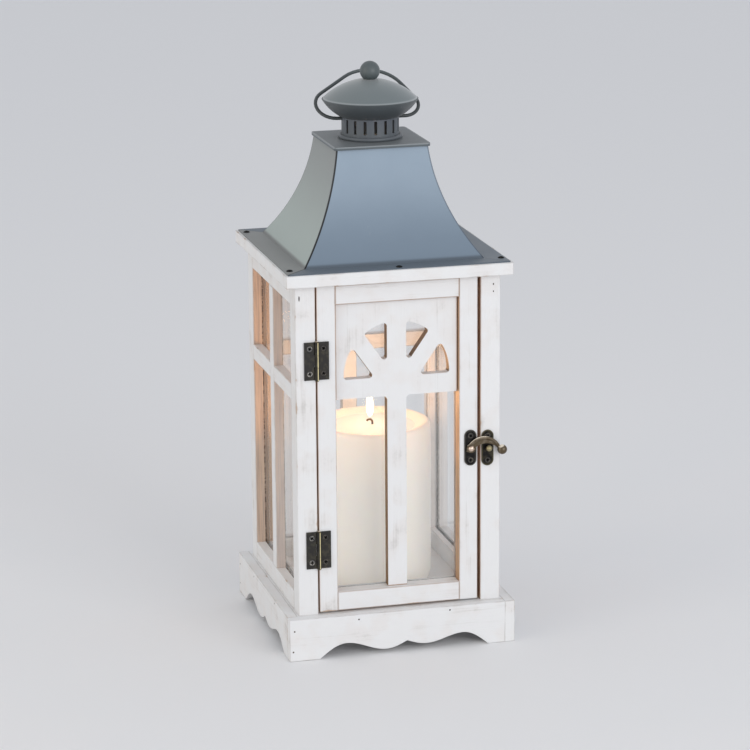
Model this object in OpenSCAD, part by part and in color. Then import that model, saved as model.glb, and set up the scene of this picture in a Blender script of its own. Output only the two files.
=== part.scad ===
// Candle lantern. A timber body with three windowed walls and a glazed, fretted door stands
// on a scalloped base, under a swept sheet-metal roof with a vented cap and a wire handle.
// Millimetres. The origin is the centre of the base, on the surface the lantern stands on.
// The door faces -Y, its hinges are on the -X side and its latch is on the +X side.

/* [Base] */
// Width and depth of the base over its skirt boards
base_w = 184; // [160:1:230]
// Height of the skirt boards, which is also the height of the floor
skirt_h = 34; // [30:1:50]
// Thickness of the skirt boards
skirt_t = 8; // [6:0.5:11]
// Thickness of the floor board
floor_t = 9; // [6:0.5:12]
// Ledge left between the edge of the base and the body
base_ledge = 9.75; // [9:0.25:14]
// Length of each foot, from the corner of the base to the scalloped edge
foot_len = 22.9; // [18:0.1:32]
// Rise of the two arches of the scalloped edge
arch_rise = 11.4; // [8:0.2:16]
// Rise of the two low lobes beside the middle
lobe_rise = 4.4; // [2:0.2:6]
// How far the right lobe stands above that height, and the left one below it
lobe_step = 0.8; // [0:0.1:1.5]
// Rise of the pointed cusp in the middle
cusp_rise = 9; // [6:0.2:12]
// Distance of the cusp to the right of the middle of the scalloped edge
cusp_shift = 2.3; // [-4:0.1:4]
// Distance of the scalloped edge to the right of the middle of its board
scallop_shift = 1; // [-3:0.5:3]

/* [Body] */
// Height of the corner posts
post_h = 265.5; // [230:0.5:320]
// Width and depth of the corner posts and thickness of the wall rails
post_w = 16; // [14:0.5:20]
// Height of the lower rail of each window
sill_h = 15.5; // [12:0.5:20]
// Height of the upper rail of each window
head_h = 17.5; // [12:0.5:22]
// Width of the bars of each window cross
bar_w = 12.5; // [9:0.5:18]
// Thickness of the window crosses
cross_t = 8; // [5:0.5:9]
// Height of the middle of the crossbar above the floor
crossbar_z = 178; // [130:1:190]
// Chamfer that eases the long edges of the timber
ease = 0.5; // [0.2:0.1:0.8]

/* [Glass] */
// Thickness of the panes
glass_t = 2; // [1.6:0.2:3]
// Depth of the groove that holds a pane
groove_d = 3; // [2:0.5:4]
// Clearance round a pane in its groove
glass_fit = 0.15; // [0.1:0.05:0.3]
// Room behind a pane in the wider grooves of the walls
wall_room = 1; // [0.3:0.1:2]

/* [Door] */
// Gap between the door and the hinge post
gap_hinge = 1.1; // [0.8:0.1:2]
// Gap between the door and the latch post
gap_latch = 2.4; // [1.5:0.1:4]
// Gap above and below the door
gap_end = 1.6; // [1:0.1:3]
// Thickness of the door frame
door_t = 16; // [14:0.5:18]
// Width of the door stiles
stile_w = 14.8; // [13:0.2:20]
// Height of the door rails
rail_h = 15.2; // [12:0.2:22]

/* [Fretwork] */
// Thickness of the fretted panel and its middle bar
fret_t = 8; // [5:0.5:8.5]
// Distance of the panel behind the face of the door
fret_setback = 4; // [2:0.5:5]
// Height of the panel below the upper rail
fret_h = 76.5; // [70:0.5:100]
// Width of the middle bar, its ray and the band under the fan
ray_w = 15.4; // [12:0.2:17]
// Width of the two slanted rays
side_ray_w = 13.2; // [10:0.2:17]
// Radius of the fan
fan_r = 42.5; // [34:0.5:44]
// Lean of the two slanted rays from upright
ray_angle = 35; // [30:1:42]
// Gap between the panel and each stile
fret_gap = 0.6; // [0.2:0.1:1]

/* [Hinges] */
// Height of the hinge leaves
leaf_h = 30; // [24:1:40]
// Width of one hinge leaf from the pin
leaf_w = 9.8; // [8:0.2:13]
// Thickness of the hinge leaves
leaf_t = 1.2; // [1:0.1:1.5]
// Radius of the hinge knuckles
knuckle_r = 1.8; // [1.7:0.1:2.5]
// Radius of the hinge pins
pin_r = 0.9; // [0.7:0.1:1]
// Height of the middle of the lower hinge above the floor
hinge_low_z = 53; // [35:1:70]
// Height of the middle of the upper hinge above the floor
hinge_high_z = 205.5; // [150:0.5:210]

/* [Latch] */
// Width of the latch plates
plate_w = 9.8; // [9:0.2:11]
// Height of the latch plates
plate_h = 29; // [26:1:36]
// Height of the latch pivot above the floor
latch_z = 126.5; // [90:0.5:150]
// Radius of the ball at the end of the latch arm
grip_r = 3.9; // [2.5:0.1:4.5]

/* [Roof] */
// Overhang of the board under the roof beyond the body
cornice_overhang = 8.25; // [5:0.25:16]
// Thickness of the board under the roof
cornice_t = 9.5; // [8:0.5:14]
// Radius of the flue opening in that board
flue_r = 50; // [35:1:55]
// Thickness of the roof sheet
sheet_t = 1; // [0.8:0.1:1.5]
// Width of the flat flange round the roof
flange_w = 16.5; // [12:0.5:20]
// Step from the edge of the board in to the flange
flange_step = 2; // [1:0.5:5]
// Height of the swept roof above its board
roof_h = 86.5; // [60:0.1:110]
// Inward sag of the sweep from a straight slope
roof_sag = 6.5; // [3:0.5:9]

/* [Cap] */
// Width of the square plate on top of the roof
crown_w = 77.5; // [68:0.5:90]
// Depth of the turned-down edge of that plate
crown_lip = 2.4; // [2:0.2:4]
// Radius of the vent neck
neck_r = 22.7; // [20:0.1:27]
// Height of the vent neck
neck_h = 18.1; // [16:0.1:26]
// Number of vent slots, less those that would meet the handle's pivot holes
slot_n = 17; // [10:1:18]
// Width of a vent slot
slot_w = 2.4; // [1.6:0.1:3]
// Height of a vent slot
slot_h = 10.6; // [7:0.2:11]
// Turn of the vent slots about the upright axis
slot_turn = -9; // [-18:0.5:18]
// Radius of the rim of the cap
rim_r = 37.2; // [33:0.1:44]
// Height of the lower dish of the cap
bowl_h = 13.2; // [10:0.2:18]
// Height of the upper dish of the cap
dome_h = 15.2; // [10:0.2:20]
// Radius of the ball on top
ball_r = 7.9; // [6:0.1:10]
// Turn of the handle's pivots about the upright axis
cap_turn = -4; // [-20:1:20]

/* [Handle] */
// Diameter of the handle wire
wire_d = 2.8; // [2:0.1:3]
// Space between the rim of the cap and the wire beside it
wire_room = 2.4; // [2:0.1:6]
// Radius of the wire where it turns up beside the neck
shoulder_r = 13.7; // [10:0.1:18]
// Radius of the wire at the top of the handle
crest_r = 29.6; // [24:0.2:36]
// Slope of the straight run between those two bends, with the crest in the middle
run_slope = 47.5; // [42:0.5:54]
// Distance of the crest to the right of the middle
crest_shift = 4; // [-5:0.5:5]
// How much larger the bend of the left shoulder is, and smaller that of the right one
shoulder_step = 1.2; // [-2:0.1:2]
// How much farther the left side stands from the cap, and nearer the right side
side_step = 0.4; // [-1:0.1:1]
// Lean of the resting handle behind upright
handle_lean = 51; // [0:1:90]

/* [Candle] */
// Diameter of the candle
candle_d = 94; // [60:1:96]
// Height of the candle
candle_h = 132; // [60:1:150]
// Depth of the melted pool
pool_d = 4.5; // [2:0.5:8]
// Diameter of the wick
wick_d = 1.8; // [1.2:0.1:2.5]

/* [Hidden] */
$fn = 64;

white_paint = [0.90, 0.89, 0.87];
roof_grey = [0.47, 0.51, 0.56];
black_iron = [0.16, 0.15, 0.14];
old_brass = [0.45, 0.37, 0.26];
clear_glass = [0.80, 0.88, 0.88, 0.35];

// Levels and widths that follow from the sizes above
body_w = base_w - 2 * base_ledge;
cornice_w = body_w + 2 * cornice_overhang;
face_y = -body_w / 2;
open_w = body_w - 2 * post_w;
floor_z = skirt_h;
body_top = floor_z + post_h;
cornice_top = body_top + cornice_t;
glass_y = face_y + cross_t;
groove_t = glass_t + 2 * glass_fit;
eps = 0.01;
cut = 400;

// Door
door_l = -open_w / 2 + gap_hinge;
door_r = open_w / 2 - gap_latch;
door_mid = (door_l + door_r) / 2;
door_bottom = floor_z + gap_end;
door_top = body_top - gap_end;
light_l = door_l + stile_w;
light_r = door_r - stile_w;
light_bottom = door_bottom + rail_h;
light_top = door_top - rail_h;
door_glass_y = face_y + fret_setback + fret_t;

// Hinges
hinge_x = -open_w / 2 + gap_hinge / 2;
hinge_y = face_y - knuckle_r;
pin_fit = 0.05;
knuckle_gap = 0.2;
leaf_screw_z = leaf_h / 2 - 5;
leaf_screw_x = leaf_w - 4.3;

// Latch
pivot_x = door_r - 6;
peg_x = open_w / 2 + 5.6;
peg_dx = peg_x - pivot_x;
pivot_z = floor_z + latch_z;
post_plate_z = pivot_z - 1;
plate_t = 1;
boss_t = 0.6;
arm_y = face_y - plate_t - boss_t - 0.3;
arm_t = 1.4;
rim_wire_r = 1.3;
plate_screw_z = plate_h / 2 - 4.6;

// Screws
screw_r = 1.4;
frame_screw_r = 1.7;
frame_screw_l = 26;
frame_screw_at = body_w / 2 - post_w / 2;

// Roof, as half widths at the foot and the top of the sweep
flange_half = cornice_w / 2 - flange_step;
foot_half = flange_half - flange_w;
top_half = crown_w / 2 - 2;
crown_z = cornice_top + roof_h;
crown_t = 1.2;
neck_z = crown_z + crown_t;
neck_wall = 0.9;
pivot_hole_z = neck_z + neck_h - 2.2;
bowl_z = neck_z + neck_h;
rim_z = bowl_z + bowl_h;
dome_top = rim_z + dome_h;
ball_sink = 1.9;
ball_z = dome_top + ball_r - ball_sink;
dome_t = 0.9;
dome_r = (rim_r * rim_r + dome_h * dome_h) / (2 * dome_h);
stud_r = 2;
nut_r = 4;
nut_h = 3.2;
nut_top = dome_top - dome_r + sqrt(pow(dome_r - dome_t, 2) - nut_r * nut_r) - 0.02;

// Candle
pool_r = candle_d / 2 - 7;
candle_top = floor_z + candle_h;

// ---- Arcs ----

// Radius of the arc over the chord p0-p1 that rises by sag
function arc_r(p0, p1, sag) = (pow(norm(p1 - p0), 2) / 4 + sag * sag) / (2 * sag);

// Unit vector to the left of the way from p0 to p1
function left_of(p0, p1) = [p0[1] - p1[1], p1[0] - p0[0]] / norm(p1 - p0);

// Centre of that arc, which bulges to the right of the way from p0 to p1
function arc_centre(p0, p1, sag) =
    (p0 + p1) / 2 + left_of(p0, p1) * (arc_r(p0, p1, sag) - sag);

// Strip of thickness t along the arc, on its bulging side
module arc_strip(p0, p1, sag, t) {
    c = arc_centre(p0, p1, sag);
    r = arc_r(p0, p1, sag);
    m = (p0 + p1) / 2;
    intersection() {
        translate(c)
            difference() {
                circle(r + t, $fn = 240);
                circle(r, $fn = 240);
            }
        polygon([c, c + 2 * (p0 - c), c + 3 * (m - c), c + 2 * (p1 - c)]);
    }
}

// ---- Timber ----

// Rectangle with eased corners, centred
module eased_section(a, b) {
    x = a / 2;
    y = b / 2;
    polygon([
        [x - ease, -y], [x, ease - y], [x, y - ease], [x - ease, y],
        [ease - x, y], [-x, y - ease], [-x, ease - y], [ease - x, -y]
    ]);
}

// Upright batten from z0 to z1 over the given spans in X and Y
module upright(x0, x1, y0, y1, z0, z1) {
    translate([(x0 + x1) / 2, (y0 + y1) / 2, z0])
        linear_extrude(z1 - z0)
            eased_section(x1 - x0, y1 - y0);
}

// Level batten along X over the given spans in X, Y and Z
module level(x0, x1, y0, y1, z0, z1) {
    translate([x0, (y0 + y1) / 2, (z0 + z1) / 2])
        rotate([90, 0, 90])
            linear_extrude(x1 - x0)
                eased_section(y1 - y0, z1 - z0);
}

// Turns a wall built at the front to its own side of the body
module on_side(side) {
    turn = side == "left" ? -90 : side == "right" ? 90 : side == "back" ? 180 : 0;
    rotate([0, 0, turn])
        children();
}

// Height of the scalloped edge at t, which runs from 0 at the cusp to 1 at the foot on the
// left (s = -1) or on the right (s = 1)
function scallop(t, s) =
    let (lobe = 0.24, arch = 0.69, low = lobe_rise + s * lobe_step)
    t < lobe ? low + (cusp_rise - low) * (1 - sin(90 * t / lobe)) :
    t < arch ? low + (arch_rise - low) * (1 - cos(180 * (t - lobe) / (arch - lobe))) / 2 :
    arch_rise * cos(90 * (t - arch) / (1 - arch));

// Point of the scalloped edge of a board, from -1 at the left foot to 1 at the right one
function scallop_point(t) =
    let (half = base_w / 2 - foot_len, s = t < 0 ? -1 : 1)
    [scallop_shift + cusp_shift + t * (half - s * cusp_shift), scallop(abs(t), s)];

// Skirt board at the front. Each board covers the end of the board on its left.
module skirt(side) {
    steps = 44;
    on_side(side)
        translate([0, skirt_t - base_w / 2, 0])
            rotate([90, 0, 0])
                linear_extrude(skirt_t)
                    polygon(concat(
                        [
                            [base_w / 2 - skirt_t, 0],
                            [base_w / 2 - skirt_t, skirt_h - ease],
                            [base_w / 2 - skirt_t, skirt_h],
                            [-base_w / 2, skirt_h],
                            [-base_w / 2, 0]
                        ],
                        [for (i = [-steps:steps]) scallop_point(i / steps)]
                    ));
}

module floor_board() {
    side = base_w - 2 * skirt_t;
    color(white_paint)
        difference() {
            translate([-side / 2, -side / 2, floor_z - floor_t])
                cube([side, side, floor_t]);
            frame_screw_set(0.05);
        }
}

// Corner post. sx and sy give the corner, and walls the sides whose panes it holds.
module post(sx, sy, walls) {
    a = body_w / 2 - post_w;
    b = body_w / 2;
    color(white_paint)
        difference() {
            upright(
                min(sx * a, sx * b), max(sx * a, sx * b),
                min(sy * a, sy * b), max(sy * a, sy * b),
                floor_z, body_top
            );
            for (side = walls)
                glass_groove(side);
            frame_screw_set(0.05);
            if (sy < 0)
                post_screw_holes(sx);
        }
}

// Pilot holes for the hinge or latch screws in a front post
module post_screw_holes(sx) {
    if (sx < 0)
        hinge_screw_set(-1, 0.05);
    else
        latch_screw_set(peg_x, post_plate_z, 0.05);
}

// Space cut in the timber for the pane of one wall, which lies against the window cross
module glass_groove(side) {
    w = open_w + 2 * groove_d;
    z0 = floor_z + sill_h - groove_d;
    z1 = body_top - head_h + groove_d;
    on_side(side)
        translate([-w / 2, glass_y, z0])
            cube([w, glass_t + wall_room, z1 - z0]);
}

module sill_rail(side) {
    color(white_paint)
        difference() {
            on_side(side)
                level(-open_w / 2, open_w / 2, face_y, face_y + post_w, floor_z, floor_z + sill_h);
            glass_groove(side);
        }
}

module head_rail(side) {
    color(white_paint)
        difference() {
            on_side(side)
                level(-open_w / 2, open_w / 2, face_y, face_y + post_w, body_top - head_h, body_top);
            glass_groove(side);
        }
}

// Upright bar of a window, halved at the back where the crossbar passes behind it
module window_mullion(side) {
    color(white_paint)
        on_side(side)
            difference() {
                upright(
                    -bar_w / 2, bar_w / 2, face_y, face_y + cross_t,
                    floor_z + sill_h, body_top - head_h
                );
                translate([-bar_w, face_y + cross_t / 2, floor_z + crossbar_z - bar_w / 2])
                    cube([2 * bar_w, cross_t, bar_w]);
            }
}

// Crossbar of a window, halved at the front to let the upright bar through
module window_crossbar(side) {
    color(white_paint)
        on_side(side)
            difference() {
                level(
                    -open_w / 2, open_w / 2, face_y, face_y + cross_t,
                    floor_z + crossbar_z - bar_w / 2, floor_z + crossbar_z + bar_w / 2
                );
                translate([-bar_w / 2, face_y - 1, floor_z + crossbar_z - bar_w])
                    cube([bar_w, cross_t / 2 + 1, 2 * bar_w]);
            }
}

module wall_glass(side) {
    w = open_w + 2 * groove_d - 2 * glass_fit;
    z0 = floor_z + sill_h - groove_d;
    z1 = body_top - head_h + groove_d - 2 * glass_fit;
    color(clear_glass)
        on_side(side)
            translate([-w / 2, glass_y, z0])
                cube([w, glass_t, z1 - z0]);
}

module cornice_board() {
    color(white_paint)
        difference() {
            translate([0, 0, body_top])
                linear_extrude(cornice_t)
                    eased_section(cornice_w, cornice_w);
            translate([0, 0, body_top - 1])
                cylinder(h = cornice_t + 2, r = flue_r);
            frame_screw_set(0.05);
            roof_screw_set(0.05);
        }
}

// ---- Screws ----

// Countersunk screw pointing along -Z, with the top of its head at the origin
module countersunk(r, l, fit) {
    head_r = 2 * r;
    rotate_extrude()
        polygon([
            [0, fit > 0 ? 1 : 0], [head_r + fit, fit > 0 ? 1 : 0], [head_r + fit, 0],
            [r + fit, -r], [r + fit, -l], [0, -l]
        ]);
}

// Screw with a low round head on the surface, pointing along -Z
module round_head(r, l, head_r, head_h, fit) {
    dome_r = (head_r * head_r + head_h * head_h) / (2 * head_h);
    if (fit == 0)
        intersection() {
            translate([0, 0, head_h - dome_r])
                sphere(dome_r);
            cylinder(h = head_h, r = head_r);
        }
    translate([0, 0, -l])
        cylinder(h = l + (fit > 0 ? 1 : eps), r = r + fit);
}

// Screws up through the floor board and down through the cornice board into the posts
module frame_screw_set(fit) {
    for (sx = [-1, 1], sy = [-1, 1])
        translate([sx * frame_screw_at, sy * frame_screw_at, 0]) {
            translate([0, 0, floor_z - floor_t])
                mirror([0, 0, 1])
                    countersunk(frame_screw_r, frame_screw_l, fit);
            translate([0, 0, cornice_top])
                countersunk(frame_screw_r, frame_screw_l, fit);
        }
}

// Turns a screw to point into the front of the body, with its head at height y
module into_front(x, y, z) {
    translate([x, y, z])
        rotate([90, 0, 0])
            children();
}

// Four screws on the post side (-1) or the door side (1) of the two hinges
module hinge_screw_set(side, fit) {
    for (zc = [hinge_low_z, hinge_high_z], s = [-1, 1])
        into_front(hinge_x + side * leaf_screw_x, face_y - leaf_t, floor_z + zc + s * leaf_screw_z)
            countersunk(screw_r * 0.85, 10, fit);
}

// Two screws of the latch plate whose middle is at x and z
module latch_screw_set(x, z, fit) {
    for (s = [-1, 1])
        into_front(x, face_y - plate_t - boss_t, z + s * plate_screw_z)
            countersunk(screw_r * 0.85, 10, fit);
}

// Screws at the ends of the side flanges and in the middle of the front and back flanges
module roof_screw_set(fit) {
    edge = flange_half - 3.9;
    corner = flange_half - 13;
    for (sy = [-1, 1], sx = [-1, 0, 1])
        translate([sx * edge, sy * (sx == 0 ? edge : corner), cornice_top + sheet_t])
            round_head(screw_r, 7, 2.6, 1.2, fit);
}

module frame_screws() {
    color(black_iron)
        frame_screw_set(0);
}

module hinge_screws_post() {
    color(black_iron)
        hinge_screw_set(-1, 0);
}

module hinge_screws_door() {
    color(black_iron)
        hinge_screw_set(1, 0);
}

module latch_screws_door() {
    color(black_iron)
        latch_screw_set(pivot_x, pivot_z, 0);
}

module latch_screws_post() {
    color(black_iron)
        latch_screw_set(peg_x, post_plate_z, 0);
}

module roof_screws() {
    color(black_iron)
        roof_screw_set(0);
}

// ---- Door ----

// Space cut in the door frame for its pane
module door_groove() {
    translate([light_l - groove_d, door_glass_y, light_bottom - groove_d])
        cube([
            light_r - light_l + 2 * groove_d, groove_t,
            light_top - light_bottom + 2 * groove_d
        ]);
}

module door_stile(x0, x1) {
    color(white_paint)
        difference() {
            upright(x0, x1, face_y, face_y + door_t, door_bottom, door_top);
            door_groove();
            hinge_screw_set(1, 0.05);
            latch_screw_set(pivot_x, pivot_z, 0.05);
            latch_rivet_solid(0.05);
        }
}

module door_rail(z0, z1) {
    color(white_paint)
        difference() {
            level(light_l, light_r, face_y, face_y + door_t, z0, z1);
            door_groove();
        }
}

module door_glass() {
    color(clear_glass)
        translate([light_l - groove_d + glass_fit, door_glass_y, light_bottom - groove_d])
            cube([
                light_r - light_l + 2 * (groove_d - glass_fit), glass_t,
                light_top - light_bottom + 2 * (groove_d - glass_fit)
            ]);
}

// Outline of the panel with its middle bar, from the foot of the fan's band
module fret_outline() {
    half = (light_r - light_l) / 2 - fret_gap;
    drop = light_top - fret_h - light_bottom;
    fillet = 3;
    offset(r = -fillet)
        offset(delta = fillet)
            union() {
                translate([-half, 0])
                    square([2 * half, fret_h]);
                translate([-ray_w / 2, -drop])
                    square([ray_w, drop + ray_w]);
            }
}

// The four petals between the rays of the fan, with softened corners
module fan_petals() {
    corner_r = 2.4;
    hub_rise = 1.9;
    offset(r = corner_r)
        offset(delta = -corner_r)
            difference() {
                intersection() {
                    translate([0, ray_w + hub_rise])
                        circle(fan_r, $fn = 96);
                    translate([-fan_r, ray_w])
                        square([2 * fan_r, 2 * fan_r]);
                }
                translate([-ray_w / 2, 0])
                    square([ray_w, 3 * fan_r]);
                for (s = [-1, 1])
                    translate([0, hub_rise])
                        rotate(s * ray_angle)
                            translate([-side_ray_w / 2, 0])
                                square([side_ray_w, 3 * fan_r]);
            }
}

module fret_panel() {
    color(white_paint)
        translate([door_mid, face_y + fret_setback + fret_t, light_top - fret_h])
            rotate([90, 0, 0])
                linear_extrude(fret_t)
                    difference() {
                        fret_outline();
                        fan_petals();
                    }
}

// ---- Hinges ----

// One leaf of a hinge at height zc. side is -1 for the post and 1 for the door.
// The post leaf carries the two outer knuckles and the door leaf the middle one.
module hinge_leaf(zc, side) {
    third = leaf_h / 3;
    z0 = floor_z + zc - leaf_h / 2;
    spans = side < 0 ?
        [[0, third - knuckle_gap / 2], [2 * third + knuckle_gap / 2, leaf_h]] :
        [[third + knuckle_gap / 2, 2 * third - knuckle_gap / 2]];
    inner = knuckle_r + 0.3;
    color(black_iron)
        difference() {
            union() {
                translate([side < 0 ? hinge_x - leaf_w : hinge_x + inner, face_y - leaf_t, z0])
                    cube([leaf_w - inner, leaf_t, leaf_h]);
                for (span = spans) {
                    translate([side < 0 ? hinge_x - inner - 1 : hinge_x, face_y - leaf_t, z0 + span[0]])
                        cube([inner + 1, leaf_t, span[1] - span[0]]);
                    translate([hinge_x, hinge_y, z0 + span[0]])
                        cylinder(h = span[1] - span[0], r = knuckle_r);
                }
            }
            translate([hinge_x, hinge_y, z0 - 1])
                cylinder(h = leaf_h + 2, r = pin_r + pin_fit);
            hinge_screw_set(side, 0.05);
        }
}

// Pins of both hinges, with a low head on each end
module hinge_pins() {
    head_h = 0.8;
    color(old_brass)
        for (zc = [hinge_low_z, hinge_high_z])
            translate([hinge_x, hinge_y, floor_z + zc]) {
                translate([0, 0, -leaf_h / 2])
                    cylinder(h = leaf_h, r = pin_r);
                for (s = [-1, 1])
                    translate([0, 0, s * (leaf_h + head_h) / 2])
                        cylinder(h = head_h, r = knuckle_r - 0.4, center = true);
            }
}

// ---- Latch ----

// Plate with round ends, standing on the front face with its middle at x and z
module latch_plate(x, z) {
    difference() {
        into_front(x, face_y, z) {
            linear_extrude(plate_t)
                plate_outline(plate_w);
            linear_extrude(plate_t + boss_t)
                plate_outline(plate_w - 2);
        }
        latch_screw_set(x, z, 0.05);
    }
}

module plate_outline(w) {
    straight = plate_h - plate_w;
    square([w, straight], center = true);
    for (s = [-1, 1])
        translate([0, s * straight / 2])
            circle(w / 2);
}

module latch_door_plate() {
    color(old_brass)
        difference() {
            latch_plate(pivot_x, pivot_z);
            latch_rivet_solid(0.05);
        }
}

// Post plate with the round-headed peg under the arm
module latch_post_plate() {
    peg_r = 1.6;
    head_r = 2.5;
    reach = plate_t + boss_t + 3.6;
    color(old_brass)
        union() {
            latch_plate(peg_x, post_plate_z);
            into_front(peg_x, face_y, pivot_z - 0.4) {
                cylinder(h = reach, r = peg_r);
                translate([0, 0, reach])
                    sphere(head_r);
            }
        }
}

// Rivet on which the arm turns, through the plate into the stile
module latch_rivet_solid(fit) {
    into_front(pivot_x, arm_y, pivot_z) {
        translate([0, 0, -7])
            cylinder(h = 7 + arm_t + 0.3, r = 1.2 + fit);
        if (fit == 0)
            translate([0, 0, arm_t + 0.3])
                round_head(1.2, 1, 2.5, 1.7, 0);
    }
}

module latch_rivet() {
    color(old_brass)
        latch_rivet_solid(0);
}

// Swinging arm: a crescent web with a round outer rim, an eye and a ball to lift it by
module latch_arm() {
    eye_r = 3.6;
    outer_r = peg_dx + 0.9;
    outer_c = [peg_dx - 4, -5.6];
    inner_c = [peg_dx - 2.3, -9.4];
    inner_r = peg_dx - 1.2;
    ball_at = [peg_dx + 10.9, -2.2];
    rim_at = outer_r - rim_wire_r;
    a0 = atan2(ball_at[1] - outer_c[1], ball_at[0] - outer_c[0]);
    a1 = 180 - asin((1 - outer_c[1]) / rim_at);
    color(old_brass)
        into_front(pivot_x, arm_y, pivot_z)
            difference() {
                union() {
                    linear_extrude(arm_t) {
                        circle(eye_r);
                        difference() {
                            intersection() {
                                translate(outer_c)
                                    circle(outer_r - 0.6, $fn = 96);
                                translate([-cut / 2, -2.5])
                                    square([cut, cut]);
                            }
                            translate(inner_c)
                                circle(inner_r, $fn = 96);
                        }
                    }
                    translate([outer_c[0], outer_c[1], arm_t])
                        rotate([0, 0, a0])
                            rotate_extrude(angle = a1 - a0, $fn = 96)
                                translate([rim_at, 0])
                                    circle(rim_wire_r, $fn = 24);
                    translate([ball_at[0], ball_at[1], grip_r - 1.2])
                        sphere(grip_r);
                }
                translate([0, 0, -1])
                    cylinder(h = arm_t + 2, r = 1.28);
                translate([0, 0, arm_t + 0.01])
                    cylinder(h = 4, r = 2.9);
            }
}

// ---- Roof ----

// Side of the roof: a sheet swept in a hollow curve with a flat flange, mitred at the hips
module roof_side(side) {
    foot = [-foot_half, cornice_top + sheet_t];
    top = [-top_half, crown_z];
    reach = flange_half + 1;
    color(roof_grey)
        difference() {
            on_side(side)
                intersection() {
                    translate([-reach, 0, 0])
                        rotate([90, 0, 90])
                            linear_extrude(2 * reach) {
                                arc_strip(foot, top, roof_sag, sheet_t);
                                translate([-flange_half, cornice_top])
                                    square([flange_w + 1.2 * sheet_t, sheet_t]);
                            }
                    translate([0, 0, cornice_top])
                        linear_extrude(roof_h)
                            polygon([[0, 0], [-reach, -reach], [reach, -reach]]);
                    translate([-flange_half, -flange_half, cornice_top])
                        cube([2 * flange_half, 2 * flange_half, roof_h]);
                }
            roof_screw_set(0.05);
        }
}

// Square with rounded corners
module soft_square(w, r) {
    square([w - 2 * r, w], center = true);
    square([w, w - 2 * r], center = true);
    for (sx = [-1, 1], sy = [-1, 1])
        translate([sx * (w / 2 - r), sy * (w / 2 - r)])
            circle(r);
}

// Plate on top of the roof, with its edge turned down over the sheets
module crown_plate() {
    corner_r = 3;
    lip_t = 1;
    color(roof_grey)
        difference() {
            translate([0, 0, crown_z - crown_lip + crown_t])
                linear_extrude(crown_lip)
                    soft_square(crown_w, corner_r);
            translate([0, 0, crown_z - crown_lip])
                linear_extrude(crown_lip)
                    soft_square(crown_w - 2 * lip_t, corner_r - lip_t);
            translate([0, 0, crown_z - 1])
                cylinder(h = crown_t + 2, r = neck_r - neck_wall);
        }
}

// Slotted neck with a rolled foot, open to the flue
module vent_neck() {
    bead_r = 1.6;
    slot_z = pivot_hole_z - slot_h;
    pivot_r = wire_d / 2 + 0.1;
    slot_room = slot_w / 2 + pivot_r + 0.8;
    color(roof_grey)
        difference() {
            union() {
                translate([0, 0, neck_z])
                    cylinder(h = neck_h, r = neck_r);
                translate([0, 0, neck_z + bead_r])
                    rotate_extrude()
                        translate([neck_r + bead_r - 0.5, 0])
                            circle(bead_r, $fn = 24);
            }
            translate([0, 0, neck_z - 1])
                cylinder(h = neck_h + 2, r = neck_r - neck_wall);
            for (i = [0:slot_n - 1])
                let (turn = slot_turn + i * 360 / slot_n)
                    if (abs(neck_r * sin(turn - cap_turn)) > slot_room)
                        rotate([0, 0, turn])
                            translate([neck_r - 4, -slot_w / 2, slot_z])
                                cube([8, slot_w, slot_h]);
            rotate([0, 0, cap_turn])
                translate([-cut / 2, 0, pivot_hole_z])
                    rotate([0, 90, 0])
                        cylinder(h = cut, r = pivot_r);
        }
}

// Lower dish of the cap, seated on the neck
module cap_bowl() {
    foot = [neck_r + 0.6, bowl_z];
    rim = [rim_r, rim_z];
    color(roof_grey)
        rotate_extrude($fn = 96) {
            arc_strip(foot, rim, 1.3, 1);
            translate([neck_r - 3, bowl_z])
                square([3.9, 0.9]);
        }
}

// Upper dish of the cap, closed over the lower one
module cap_dome() {
    color(roof_grey)
        difference() {
            rotate_extrude($fn = 96)
                intersection() {
                    translate([0, dome_top - dome_r])
                        difference() {
                            circle(dome_r, $fn = 200);
                            circle(dome_r - dome_t, $fn = 200);
                        }
                    translate([0, rim_z])
                        square([cut, dome_h]);
                }
            translate([0, 0, rim_z])
                cylinder(h = cut, r = stud_r + 0.1);
        }
}

// Ball with a stud through the dome
module finial_ball() {
    color(roof_grey)
        union() {
            difference() {
                translate([0, 0, ball_z])
                    sphere(ball_r);
                translate([0, 0, dome_top - dome_r])
                    sphere(dome_r, $fn = 200);
            }
            translate([0, 0, dome_top - 7])
                cylinder(h = 12, r = stud_r);
        }
}

// Nut on the stud, with its corners under the dome
module finial_nut() {
    color(roof_grey)
        translate([0, 0, nut_top - nut_h])
            difference() {
                cylinder(h = nut_h, r = nut_r, $fn = 6);
                translate([0, 0, -1])
                    cylinder(h = nut_h + 2, r = stud_r + 0.02);
            }
}

// Outward angle of the straight run from a bend of centre c0 and radius r0 to one of c1 and r1
function run_angle(c0, r0, c1, r1) =
    atan2(c1[1] - c0[1], c1[0] - c0[0]) - acos((r0 - r1) / norm(c1 - c0));

// Points of a bend from angle a0 to angle a1 about centre c
function bend(c, r, a0, a1) =
    let (n = 12)
    [for (i = [0:n]) let (a = a0 + i * (a1 - a0) / n) [c[0] + r * cos(a), c[1] + r * sin(a)]];

// Points of the handle's centre line, flat in XY. It leaves one pivot at end_x, bends up on the
// right with radius right_r at right_x from the middle, turns round the crest and comes down alike
function handle_path(end_x, right_x, right_r, left_x, left_r, crest) =
    let (
        right_c = [right_x - right_r, right_r],
        left_c = [left_r - left_x, left_r],
        right_turn = run_angle(right_c, right_r, crest, crest_r),
        left_turn = 180 - run_angle([-left_c[0], left_c[1]], left_r, [-crest[0], crest[1]], crest_r)
    )
    concat(
        [[end_x, 0]],
        bend(right_c, right_r, -90, right_turn),
        bend(crest, crest_r, right_turn, left_turn),
        bend(left_c, left_r, left_turn, 270),
        [[-end_x, 0]]
    );

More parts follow.
